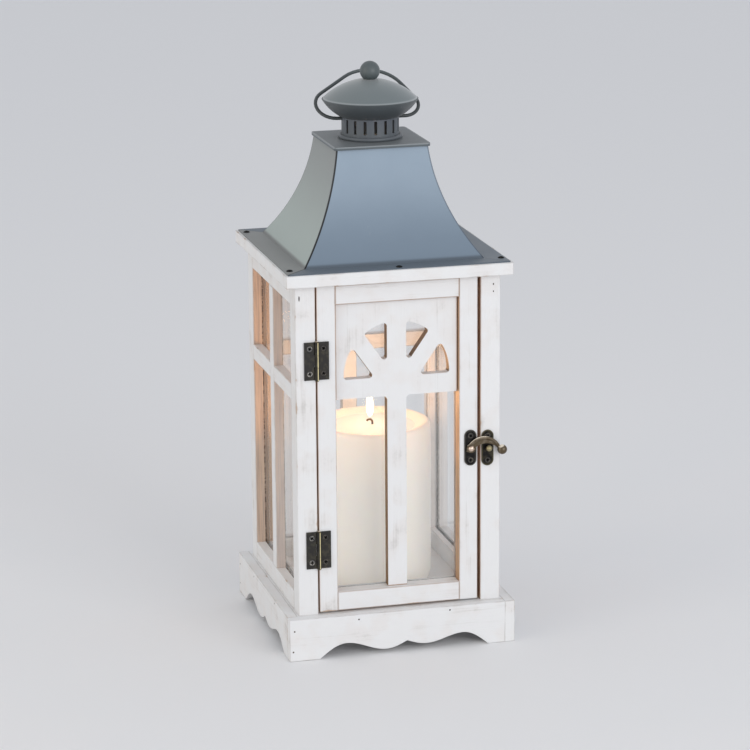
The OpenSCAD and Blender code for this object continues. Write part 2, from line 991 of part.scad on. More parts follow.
// Unit direction of a path at point i
function path_way(p, i) =
    let (v = unit(p[min(i + 1, len(p) - 1)] - p[i]) + unit(p[i] - p[max(i - 1, 0)]))
    unit(v);

function unit(v) = norm(v) == 0 ? v : v / norm(v);

// Round wire of radius r along a flat path
module swept_wire(p, r) {
    sides = 16;
    n = len(p);
    points = [
        for (i = [0:n - 1], k = [0:sides - 1])
            let (a = 360 * k / sides, way = path_way(p, i))
            [p[i][0] - way[1] * r * cos(a), p[i][1] + way[0] * r * cos(a), r * sin(a)]
    ];
    tube = [
        for (i = [0:n - 2], k = [0:sides - 1])
            let (a = i * sides + k, b = i * sides + (k + 1) % sides)
            [a, a + sides, b + sides, b]
    ];
    ends = [
        [for (k = [0:sides - 1]) k],
        [for (k = [1:sides]) n * sides - k]
    ];
    polyhedron(points, concat(tube, ends));
}

// Wire handle, drawn flat in XY with its pivot axis along X, then leaned back and turned
module handle_bail() {
    r = wire_d / 2;
    pin_end = neck_r - neck_wall - 1.8;
    side_x = rim_r + wire_room + r;
    turn = 90 - run_slope;
    start = [side_x - shoulder_r + shoulder_r * cos(turn), shoulder_r + shoulder_r * sin(turn)];
    run = (start[0] - crest_r * cos(turn)) / cos(run_slope);
    crest = [crest_shift, start[1] + run * sin(run_slope) - crest_r * sin(turn)];
    path = handle_path(
        neck_r + 1, side_x - side_step, shoulder_r - shoulder_step,
        side_x + side_step, shoulder_r + shoulder_step, crest
    );
    color(roof_grey)
        translate([0, 0, pivot_hole_z])
            rotate([0, 0, cap_turn])
                rotate([90 - handle_lean, 0, 0]) {
                    swept_wire(path, r - 0.02);
                    for (s = [-1, 1])
                        translate([s * (pin_end + neck_r + 2) / 2, 0, 0])
                            rotate([0, 90, 0])
                                cylinder(h = neck_r + 2 - pin_end, r = r, center = true);
                }
}

// ---- Candle ----

module candle() {
    edge = 2.5;
    color([0.93, 0.89, 0.82])
        difference() {
            translate([0, 0, floor_z])
                rotate_extrude($fn = 96)
                    difference() {
                        union() {
                            square([candle_d / 2, candle_h - edge]);
                            square([candle_d / 2 - edge, candle_h]);
                            translate([candle_d / 2 - edge, candle_h - edge])
                                circle(edge);
                        }
                        translate([-cut, -cut])
                            square([cut, 2 * cut]);
                        translate([0, candle_h - pool_d])
                            square([pool_r, cut]);
                    }
            wick_solid(0.02);
        }
}

// Wick standing in the pool, curled over at its tip
module wick_solid(fit) {
    curl_r = 2.2;
    rise = pool_d + 1.5;
    translate([0, 0, candle_top - pool_d - 12])
        cylinder(h = 12 + rise, r = wick_d / 2 + fit, $fn = 24);
    translate([-curl_r, 0, candle_top - pool_d + rise])
        rotate([90, 0, 0])
            rotate_extrude(angle = 130, $fn = 64)
                translate([curl_r, 0])
                    circle(wick_d / 2 + fit, $fn = 24);
}

module wick() {
    color([0.12, 0.10, 0.09])
        wick_solid(0);
}

color(white_paint) skirt("front");  // skirt_front
color(white_paint) skirt("right");  // skirt_right
color(white_paint) skirt("back");  // skirt_back
color(white_paint) skirt("left");  // skirt_left
floor_board();
post(-1, -1, ["left"]);  // post_front_left
post(1, -1, ["right"]);  // post_front_right
post(-1, 1, ["left", "back"]);  // post_back_left
post(1, 1, ["right", "back"]);  // post_back_right
sill_rail("left");  // sill_rail_left
sill_rail("right");  // sill_rail_right
sill_rail("back");  // sill_rail_back
head_rail("left");  // head_rail_left
head_rail("right");  // head_rail_right
head_rail("back");  // head_rail_back
window_mullion("left");  // mullion_left
window_crossbar("left");  // crossbar_left
window_mullion("right");  // mullion_right
window_crossbar("right");  // crossbar_right
window_mullion("back");  // mullion_back
window_crossbar("back");  // crossbar_back
wall_glass("left");  // glass_left
wall_glass("right");  // glass_right
wall_glass("back");  // glass_back
cornice_board();
frame_screws();
door_stile(door_l, light_l);  // door_stile_hinge
door_stile(light_r, door_r);  // door_stile_latch
door_rail(light_top, door_top);  // door_rail_top
door_rail(door_bottom, light_bottom);  // door_rail_bottom
fret_panel();
door_glass();
hinge_leaf(hinge_high_z, -1);  // hinge_upper_post_leaf
hinge_leaf(hinge_high_z, 1);  // hinge_upper_door_leaf
hinge_leaf(hinge_low_z, -1);  // hinge_lower_post_leaf
hinge_leaf(hinge_low_z, 1);  // hinge_lower_door_leaf
hinge_pins();
hinge_screws_post();
hinge_screws_door();
latch_door_plate();
latch_post_plate();
latch_rivet();
latch_arm();
latch_screws_door();
latch_screws_post();
roof_side("front");  // roof_front
roof_side("right");  // roof_right
roof_side("back");  // roof_back
roof_side("left");  // roof_left
roof_screws();
crown_plate();
vent_neck();
cap_bowl();
cap_dome();
finial_ball();
finial_nut();
handle_bail();
candle();
wick();
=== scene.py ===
"""Looks of a whitewashed candle lantern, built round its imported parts.

Measures are in metres in the lantern's own frame: the origin is the centre of its foot, +Z is up,
the door faces -Y and its hinges are on the -X side.
"""

import logging
import math
from dataclasses import dataclass
from enum import Enum

import bpy
from mathutils import Matrix, Vector


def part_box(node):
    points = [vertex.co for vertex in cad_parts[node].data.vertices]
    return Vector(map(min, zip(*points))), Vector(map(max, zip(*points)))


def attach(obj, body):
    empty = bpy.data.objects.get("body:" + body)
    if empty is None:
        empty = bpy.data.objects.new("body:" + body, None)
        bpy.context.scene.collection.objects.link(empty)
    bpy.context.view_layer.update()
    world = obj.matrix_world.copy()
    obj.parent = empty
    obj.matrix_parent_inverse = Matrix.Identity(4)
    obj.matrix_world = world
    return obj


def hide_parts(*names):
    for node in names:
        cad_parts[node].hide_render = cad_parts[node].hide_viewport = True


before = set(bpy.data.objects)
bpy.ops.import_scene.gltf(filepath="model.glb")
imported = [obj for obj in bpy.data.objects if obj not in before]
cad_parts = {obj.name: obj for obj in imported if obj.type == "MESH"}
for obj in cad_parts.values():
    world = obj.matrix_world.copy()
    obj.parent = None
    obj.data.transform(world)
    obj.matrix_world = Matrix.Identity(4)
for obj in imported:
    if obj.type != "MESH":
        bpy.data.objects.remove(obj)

LOG = logging.getLogger("lantern")
MM = 0.001
SENSOR = 36.0  # the width of the camera's sensor in millimetres
SAME_HEIGHT = 0.0002  # how near to a node's outer end a screw's face lies
SAME_SCREW = 0.008  # how near to each other the points of one screw lie
SCREW_SPIN = 0.9  # how much further each screw is turned than the last, in radians

Material = bpy.types.Material
Piece = bpy.types.Object
Colour = tuple[float, float, float]
Point = tuple[float, float, float]
WHITE: Colour = (1.0, 1.0, 1.0)


# ---- Shader graphs ----


@dataclass(frozen=True, eq=False)
class Wire:
    """One output of a node, which takes part in arithmetic by adding Math nodes."""

    graph: "Graph"
    node: bpy.types.Node
    output: int

    @property
    def socket(self) -> bpy.types.NodeSocket:
        """The output socket itself."""
        return self.node.outputs[self.output]

    def math(self, operation: str, *operands: "Wire | float") -> "Wire":
        """Adds a Math node on operands in order, and gives its result."""
        return self.graph.add("ShaderNodeMath", {"operation": operation}, dict(enumerate(operands)))

    def __add__(self, other: "Wire | float") -> "Wire":
        """Adds."""
        return self.math("ADD", self, other)

    def __radd__(self, other: float) -> "Wire":
        """Adds to a number."""
        return self.math("ADD", other, self)

    def __sub__(self, other: "Wire | float") -> "Wire":
        """Subtracts."""
        return self.math("SUBTRACT", self, other)

    def __rsub__(self, other: float) -> "Wire":
        """Subtracts from a number."""
        return self.math("SUBTRACT", other, self)

    def __mul__(self, other: "Wire | float") -> "Wire":
        """Multiplies."""
        return self.math("MULTIPLY", self, other)

    def __rmul__(self, other: float) -> "Wire":
        """Multiplies a number."""
        return self.math("MULTIPLY", other, self)

    def __truediv__(self, other: "Wire | float") -> "Wire":
        """Divides."""
        return self.math("DIVIDE", self, other)

    def __abs__(self) -> "Wire":
        """Takes the size without the sign."""
        return self.math("ABSOLUTE", self)

    def least(self, other: "Wire | float") -> "Wire":
        """Takes the smaller of two values."""
        return self.math("MINIMUM", self, other)

    def most(self, other: "Wire | float") -> "Wire":
        """Takes the larger of two values."""
        return self.math("MAXIMUM", self, other)

    def power(self, exponent: float) -> "Wire":
        """Raises to a power."""
        return self.math("POWER", self, exponent)

    def beside(self, other: "Wire") -> "Wire":
        """Gives the distance across two right-angled parts."""
        return self.math("SQRT", self * self + other * other)

    def ramp(self, low: float, high: float) -> "Wire":
        """Rises smoothly from 0 at low to 1 at high, or falls where low is above high.

        Args:
            low: The value that gives 0.
            high: The value that gives 1.

        Returns:
            A mask from 0 to 1.
        """
        start, end, first, last = (low, high, 0.0, 1.0) if low < high else (high, low, 1.0, 0.0)
        return self.graph.add(
            "ShaderNodeMapRange",
            {"interpolation_type": "SMOOTHSTEP"},
            {"Value": self, "From Min": start, "From Max": end, "To Min": first, "To Max": last},
        )

    def along(self, way: Point) -> "Wire":
        """Gives the part of a vector that lies along a way of unit length."""
        return self.graph.add(
            "ShaderNodeVectorMath", {"operation": "DOT_PRODUCT"}, {0: self, 1: way}, 1
        )

    def axes(self) -> tuple["Wire", "Wire", "Wire"]:
        """Splits a vector into its three parts."""
        return tuple(
            self.graph.add("ShaderNodeSeparateXYZ", None, {"Vector": self}, i) for i in range(3)
        )


class Graph:
    """The node graph of one material or lamp."""

    def __init__(self, name: str, lamp: bpy.types.Light | None = None) -> None:
        """Starts an empty graph, in a new material unless a lamp is given.

        Args:
            name: The material's name.
            lamp: The lamp.
        """
        self.material = bpy.data.materials.new(name) if lamp is None else None
        owner = lamp or self.material
        owner.use_nodes = True
        self.tree = owner.node_tree
        self.tree.nodes.clear()

    def add(
        self,
        kind: str,
        settings: dict[str, object] | None = None,
        inputs: dict[str | int, object] | None = None,
        output: int = 0,
    ) -> Wire:
        """Adds a node.

        Args:
            kind: The node's type.
            settings: Its settings, which are set before its sockets.
            inputs: Values or wires by the name or number of the socket.
            output: The number of the output that is returned.

        Returns:
            That output.
        """
        node = self.tree.nodes.new(kind)
        for key, value in (settings or {}).items():
            setattr(node, key, value)
        for key, value in (inputs or {}).items():
            socket = node.inputs[key]
            if isinstance(value, Wire):
                self.tree.links.new(value.socket, socket)
            elif socket.type == "RGBA":
                socket.default_value = (*value, 1.0)
            else:
                socket.default_value = value
        return Wire(self, node, output)

    def place(self) -> Wire:
        """Gives the place on the piece in millimetres."""
        here = self.add("ShaderNodeTexCoord", output=3)
        return self.add("ShaderNodeVectorMath", {"operation": "SCALE"}, {0: here, "Scale": 1 / MM})

    def facing(self) -> Wire:
        """Gives the way that the surface faces, in the piece's own frame."""
        return self.add("ShaderNodeTexCoord", output=1)

    def noise(self, where: Wire, size: Point | float, detail: float, seed: float) -> Wire:
        """Adds noise of a given grain.

        Args:
            where: The place in millimetres.
            size: The size of its grain in millimetres, along each axis or along all.
            detail: How many finer layers it has.
            seed: A shift that makes it differ from other noise.

        Returns:
            Noise from 0 to 1.
        """
        sizes = size if isinstance(size, tuple) else (size,) * 3
        finer = {0: where, 1: tuple(1 / s for s in sizes)}
        scaled = self.add("ShaderNodeVectorMath", {"operation": "MULTIPLY"}, finer)
        shift = (seed, 1.7 * seed, 2.3 * seed)
        moved = self.add("ShaderNodeVectorMath", {"operation": "ADD"}, {0: scaled, 1: shift})
        return self.add(
            "ShaderNodeTexNoise", None, {"Vector": moved, "Scale": 1.0, "Detail": detail}
        )

    def blend(self, share: Wire | float, first: object, second: object) -> Wire:
        """Mixes two colours.

        Args:
            share: The share of the second colour.
            first: A colour or a wire.
            second: A colour or a wire.

        Returns:
            The mixed colour.
        """
        return self.add(
            "ShaderNodeMix", {"data_type": "RGBA"}, {0: share, 6: first, 7: second}, 2
        )

    def bump(self, height: Wire, depth: float) -> Wire:
        """Turns a height from 0 to 1, with its depth in metres, into a normal."""
        inputs = {"Height": height, "Distance": depth, "Strength": 1.0}
        return self.add("ShaderNodeBump", None, inputs)

    def finish(self, **sockets: object) -> Material:
        """Ends the graph in a Principled BSDF.

        Args:
            sockets: Its inputs, with underscores for the spaces of their names.

        Returns:
            The material.
        """
        shader = self.add(
            "ShaderNodeBsdfPrincipled", None, {k.replace("_", " "): v for k, v in sockets.items()}
        )
        self.add("ShaderNodeOutputMaterial", None, {"Surface": shader})
        return self.material


# ---- Finishes ----


class Grain(Enum):
    """The axis that a board's grain runs along."""

    X = 0
    Y = 1
    Z = 2

    def stretch(self, across: float, along: float) -> Point:
        """Gives the size along each axis of a streak, from its width and its length."""
        return tuple(along if axis == self.value else across for axis in range(3))


@dataclass(frozen=True)
class SawnSide:
    """A side of a board that shows its timber, partly as painted shade, and the pane that meets it.

    Attributes:
        way: The way that the side faces.
        share: How much of its paint is gone, set higher on sides facing down as painted shade.
        pane: The axis across the pane and the pane's place on it in metres, lined with painted
            shade.
        darker_cut: How much darker brown the cut is.
    """

    way: Point
    share: float
    pane: tuple[int, float] | None = None
    darker_cut: float = 0.0


@dataclass(frozen=True)
class Whitewash:
    """Milky paint brushed on timber: thin in grain, rubbed at edges, bare on cuts, with painted
    shade.
    """

    paint: Colour = (0.80, 0.80, 0.805)
    thin: Colour = (0.62, 0.60, 0.58)
    # The next colour serves for smudges of dirt and for the painted shade along the board's edges.
    smudge_and_edge_shade: Colour = (0.40, 0.385, 0.36)
    blush: Colour = (0.79, 0.775, 0.77)
    timber: Colour = (0.60, 0.37, 0.21)
    dark_timber: Colour = (0.33, 0.17, 0.085)
    groove_shade: Colour = (0.035, 0.020, 0.014)
    dark_cut: Colour = (0.155, 0.075, 0.010)
    grain_depth: float = 0.0003

    def make(
        self, board: str, grain: Grain, seed: float, sawn: list[SawnSide], seam_and_shade: float
    ) -> Material:
        """Makes the finish of one board.

        Args:
            board: The board's node.
            grain: The axis that its grain runs along.
            seed: A number that sets its pattern apart.
            sawn: Its sides that show timber, partly as painted shade.
            seam_and_shade: How dark the line round it is, a dark join and painted shade of a step.

        Returns:
            The material.
        """
        g = Graph(f"whitewash_{board}")
        where = g.place()
        fibres = g.noise(where, grain.stretch(0.9, 34.0), 3.0, seed)
        streaks = g.noise(where, grain.stretch(5.0, 120.0), 4.0, seed + 3.1)
        patches = g.noise(where, 22.0, 3.0, seed + 7.7)
        specks = g.noise(where, 2.2, 2.0, seed + 11.3)
        starved = (0.45 * fibres + 0.75 * streaks + 0.5 * patches).ramp(0.90, 1.14)
        colour = g.blend(patches.ramp(0.45, 0.62), self.paint, self.blush)
        colour = g.blend(0.5 * starved, colour, self.thin)
        smudge = (patches + 0.5 * streaks + 0.25 * specks).ramp(0.98, 1.22)
        colour = g.blend(0.30 * smudge, colour, self.smudge_and_edge_shade)
        edge = self.edge_distance(where, board)
        # Painted shade: a thin darker line along the edges of the board's box.
        edge_shade = edge.ramp(0.75, 0.15) * (0.10 + 0.5 * patches.ramp(0.35, 0.65))
        colour = g.blend(edge_shade, colour, self.smudge_and_edge_shade)
        # A dark join round the board, partly painted shade of the step where it meets the next
        # board.
        if seam_and_shade:
            joint_and_step_shade = edge.ramp(1.0, 0.45) * (seam_and_shade * (0.7 + 0.6 * fibres)).least(1.0)
            colour = g.blend(joint_and_step_shade, colour, self.dark_timber)
        knock = 1.4 * patches.ramp(0.59, 0.73) - edge + 0.7 * specks - 0.35
        rubbed = knock.ramp(0.0, 0.5)
        paler = (0.7 * fibres + 0.5 * streaks).ramp(0.45, 0.75)
        raw = g.blend(paler, self.dark_timber, self.timber)
        colour = g.blend(0.55 * rubbed, colour, raw)
        facing = g.facing()
        parts = where.axes()
        for side in sawn:
            shown = facing.along(side.way).ramp(0.6, 0.85)
            # A darker brown on the cut sides of the fret panel.
            shade = g.blend(side.darker_cut, raw, self.dark_cut) if side.darker_cut else raw
            colour = g.blend(shown * (side.share - 0.3 * patches), colour, shade)
            # Painted shade: a near-black line on the side where the pane goes into its groove.
            if side.pane is not None:
                axis, at = side.pane
                line = abs(parts[axis] - at / MM).ramp(0.9, 0.4)
                dots = 0.45 + 0.5 * specks.ramp(0.42, 0.52)
                colour = g.blend(shown * line * dots, colour, self.groove_shade)
        height = 0.6 * fibres + 0.35 * streaks + 0.25 * specks - 0.5 * rubbed
        return g.finish(
            Base_Color=colour,
            Roughness=0.50 + 0.22 * starved + 0.12 * rubbed,
            Normal=g.bump(height, self.grain_depth),
            Specular_IOR_Level=0.35,
        )

    def edge_distance(self, where: Wire, board: str) -> Wire:
        """Gives the distance to the nearest edge of a board's box, on its surface.

        Args:
            where: The place in millimetres.
            board: The board's node.

        Returns:
            The distance in millimetres.
        """
        low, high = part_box(board)
        centre = (low + high) / (2 * MM)
        half = (high - low) / (2 * MM)
        a, b, c = (half[i] - abs(part - centre[i]) for i, part in enumerate(where.axes()))
        return a.least(b).most(a.most(b).least(c))


@dataclass(frozen=True)
class RoofPaint:
    """Satin greyish paint over sheet metal, with painted light and shade by height and in hip
    seams.
    """

    name: str
    paint: Colour
    low: Colour
    top_z: float = 395.0
    foot_z: float = 310.5
    flange_shade: Colour = (0.085, 0.113, 0.145)
    hip_seam_shade: Colour = (0.006, 0.008, 0.010)
    # The next colour serves for scuffs and for the painted highlight on rolled rims.
    scuff_and_highlight: Colour = (0.40, 0.43, 0.44)
    coat: float = 0.3
    sheen: float = 0.08
    flange_top: float = 310.8
    flange_fillet: float = 2.2

    def make(self, sheet: str, seam_and_shade: bool, rolled: str | None = None) -> Material:
        """Makes the finish of one sheet.

        Args:
            sheet: The end of the material's name.
            seam_and_shade: Whether it has hip seams on the roof's diagonals, painted shade in them
                and on the flange.
            rolled: A node whose rolled-over outer edge gets a painted highlight.

        Returns:
            The material.
        """
        g = Graph(f"{self.name}_{sheet}")
        where = g.place()
        x, y, z = where.axes()
        cloud = g.noise(where, 30.0, 3.0, 2.0)
        orange_peel = g.noise(where, 0.9, 2.0, 5.0)
        scuffs = g.noise(where, (3.0, 3.0, 9.0), 4.0, 8.0)
        # Painted light and shade by height: the colour moves from paint at top_z to low at foot_z.
        light_by_height = z.ramp(self.top_z, self.foot_z)
        colour = g.blend((0.20 * cloud + 0.95 * light_by_height).least(1.0), self.paint, self.low)
        colour = g.blend(0.15 * scuffs.ramp(0.68, 0.8), colour, self.scuff_and_highlight)
        gloss = self.coat * (1 - 0.3 * cloud)
        # Painted highlight: a lighter line along the rolled rim.
        if rolled is not None:
            colour = g.blend(0.45 * self.rim_highlight(where, rolled), colour, self.scuff_and_highlight)
        if seam_and_shade:
            # Painted shade: the flat flange at the roof's foot is darkened.
            flange_shade = z.ramp(self.flange_top + self.flange_fillet, self.flange_top)
            colour = g.blend(flange_shade, colour, self.flange_shade)
            # Painted shade: a near-black line in the hip seams, wider on the front-left hip.
            off_hip = abs(abs(x) - abs(y)) * math.sqrt(0.5)
            door_corner = (-1 * (x + y)).ramp(20.0, 30.0)
            line = off_hip.ramp(0.9, 0.3) * 0.5
            line = line.most(off_hip.ramp(1.0, 0.7) * door_corner) * z.ramp(308.0, 311.0)
            colour = g.blend(line, colour, self.hip_seam_shade)
            gloss = gloss * (1 - line)
        return g.finish(
            Base_Color=colour,
            Metallic=0.05,
            Roughness=0.50 + 0.12 * cloud,
            Normal=g.bump(orange_peel, 0.00004),
            Coat_Weight=gloss,
            Coat_Roughness=0.35,
            Sheen_Weight=self.sheen,
            Sheen_Roughness=0.4,
        )

    @staticmethod
    def rim_highlight(where: Wire, node: str) -> Wire:
        """Marks the painted highlight on the rolled edge of a square plate or of a round dish.

        Args:
            where: The place in millimetres.
            node: The plate or dish.

        Returns:
            A mask from 0 to 1.
        """
        low, high = (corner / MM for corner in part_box(node))
        x, y, z = where.axes()
        if node == "crown_plate":
            out = (abs(x) - high.x).most(abs(y) - high.y)
            return out.ramp(-1.2, -0.5) * z.ramp(high.z - 1.3, high.z - 0.6)
        radius = x.beside(y)
        return radius.ramp(high.x - 1.5, high.x - 0.8) * z.ramp(low.z + 1.5, low.z + 0.5)


@dataclass(frozen=True)
class DarkMetal:
    """Blackened or bronzed metal, brighter where rubbed, with painted highlights by facing and on
    rims.
    """

    name: str
    base: Colour
    wear_and_highlight: Colour
    wear: float
    roughness: float = 0.38
    metallic: float = 0.85
    # shine_way, shine_from and shine_to set a painted highlight on sides that face that way.
    shine_way: Point | None = None
    shine_from: float = 0.5
    shine_to: float = 0.9

    def make(
        self, suffix: str, highlit_outline_of: str | None = None, proud_y: float | None = None
    ) -> Material:
        """Makes the finish.

        Args:
            suffix: The end of the material's name.
            highlit_outline_of: A round-ended plate whose outline gets a painted highlight.
            proud_y: What stands further forward than this is rubbed.

        Returns:
            The material.
        """
        g = Graph(f"{self.name}_{suffix}")
        where = g.place()
        mottle = g.noise(where, 3.5, 4.0, 1.0)
        fine = g.noise(where, 0.5, 3.0, 4.0)
        rubbed = (mottle + 0.35 * fine).ramp(0.62, 0.85) * self.wear
        # Painted highlight on sides facing shine_way, over the random wear.
        if self.shine_way is not None:
            lit = g.facing().along(self.shine_way).ramp(self.shine_from, self.shine_to)
            rubbed = rubbed.most(lit * (0.7 + 0.3 * mottle))
        # Painted highlight round the plate's outline, varied by noise.
        if highlit_outline_of is not None:
            rubbed = rubbed.most(self.rim(where, highlit_outline_of) * (0.05 + 0.45 * mottle))
        if proud_y is not None:
            rubbed = rubbed.most(where.axes()[1].ramp(proud_y / MM, proud_y / MM - 0.4))
        return g.finish(
            Base_Color=g.blend(rubbed, self.base, self.wear_and_highlight),
            Metallic=self.metallic,
            Roughness=self.roughness + 0.12 * mottle,
            Normal=g.bump(fine, 0.00003),
        )

    @staticmethod
    def rim(where: Wire, plate: str) -> Wire:
        """Marks the painted highlight round the outline of an upright plate with round ends.

        Args:
            where: The place in millimetres.
            plate: The plate's node.

        Returns:
            The mask.
        """
        low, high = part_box(plate)
        centre = (low + high) / (2 * MM)
        half_width = (high.x - low.x) / (2 * MM)
        straight = (high.z - low.z) / (2 * MM) - half_width
        x, _, z = where.axes()
        across = x - centre.x
        beyond = (abs(z - centre.z) - straight).most(0.0)
        radius = across.beside(beyond)
        return radius.ramp(half_width - 1.0, half_width - 0.5)


@dataclass(frozen=True)
class Glazing:
    """Thin clear glass that only shows by its gloss."""

    tint: Colour = (0.96, 0.98, 0.97)
    facing_gloss: float = 0.035
    edge_gloss: float = 0.80

    def make(self) -> Material:
        """Makes the glass, whose gloss grows alike on both of its faces as they turn away.

        Returns:
            The material.
        """
        g = Graph("window_glass")
        away = g.add("ShaderNodeLayerWeight", None, {"Blend": 0.5}, 1)
        gloss = self.facing_gloss + self.edge_gloss * away.power(5.0)
        smear = g.noise(g.place(), (45.0, 45.0, 90.0), 3.0, 6.0)
        return g.finish(
            Base_Color=self.tint,
            Metallic=1.0,
            Roughness=0.03 + 0.06 * smear,
            Alpha=(gloss + 0.02 * smear).least(1.0),
        )


@dataclass(frozen=True)
class Wax:
    """Ivory wax with painted light: a faint even glow all over and a warm glow round its flame."""

    ivory: Colour = (0.86, 0.83, 0.77)
    glow: Colour = (1.0, 0.62, 0.30)
    hot: Colour = (1.0, 0.84, 0.52)
    even_glow: Colour = (0.125, 0.120, 0.112)
    flame_at: Point = (-0.004, -0.004, 0.168)

    def make(self, name: str, melted: bool) -> Material:
        """Makes the wax.

        Args:
            name: The material's name.
            melted: Whether it is the wet pool.

        Returns:
            The material.
        """
        g = Graph(name)
        where = g.place()
        away = g.add(
            "ShaderNodeVectorMath",
            {"operation": "DISTANCE"},
            {0: where, 1: tuple(c / MM for c in self.flame_at)},
            1,
        )
        mottle = g.noise(where, (14.0, 14.0, 22.0), 3.0, 3.0)
        fine = g.noise(where, 1.6, 2.0, 9.0)
        near = away.ramp(72.0, 36.0)
        core = away.ramp(44.0, 8.0)
        warm = g.blend(core, self.glow, self.hot)
        # Painted light: the wax emits a faint even glow everywhere and a warmer one near the flame.
        light = g.blend(0.07 * near + 0.06 * core, self.even_glow, warm)
        tone = tuple(0.93 * c for c in self.ivory)
        return g.finish(
            Base_Color=g.blend(mottle, self.ivory, tone),
            Roughness=(0.12 if melted else 0.42) + 0.10 * mottle,
            Subsurface_Weight=0.35,
            Subsurface_Radius=(1.0, 0.55, 0.28),
            Subsurface_Scale=0.010,
            Emission_Color=light,
            Emission_Strength=1.2,
            Normal=g.bump(mottle + 0.3 * fine, 0.0 if melted else 0.0003),
        )


@dataclass(frozen=True)
class Burning:
    """The flame and the charred wick under it."""

    core: Colour = (1.0, 0.86, 0.55)
    rim: Colour = (1.0, 0.42, 0.08)
    char: Colour = (0.036, 0.015, 0.003)
    flame_strength: float = 5.0
    ember_strength: float = 0.35

    def flame(self, foot: float, tip: float) -> Material:
        """Makes the light of the flame.

        Args:
            foot: The height of its foot.
            tip: The height of its tip.

        Returns:
            The material.
        """
        g = Graph("flame_light")
        _, _, z = g.place().axes()
        up = (z - foot / MM) / ((tip - foot) / MM)
        edge = g.add("ShaderNodeLayerWeight", None, {"Blend": 0.35}, 1)
        colour = g.blend((0.75 * edge + 0.35 * up).ramp(0.35, 1.0), self.core, self.rim)
        return g.finish(
            Base_Color=(0.0, 0.0, 0.0),
            Emission_Color=colour,
            Emission_Strength=self.flame_strength,
            Alpha=up.ramp(-0.02, 0.22) * 0.85 + 0.15,
            Roughness=1.0,
            Specular_IOR_Level=0.0,
        )

    def wick(self, ember_z: float) -> Material:
        """Makes the charred braid with an ember at its curl.

        Args:
            ember_z: The height at which it begins to glow.

        Returns:
            The material.
        """
        g = Graph("charred_wick")
        where = g.place()
        braid = g.noise(where, (0.35, 0.35, 0.8), 3.0, 1.0)
        _, _, z = where.axes()
        ember = z.ramp(ember_z / MM - 1.2, ember_z / MM + 0.8) * braid
        return g.finish(
            Base_Color=self.char,
            Roughness=0.9,
            Emission_Color=g.blend(ember, (0.0, 0.0, 0.0), self.rim),
            Emission_Strength=self.ember_strength,
            Normal=g.bump(braid, 0.0002),
        )


# ---- Modelling ----


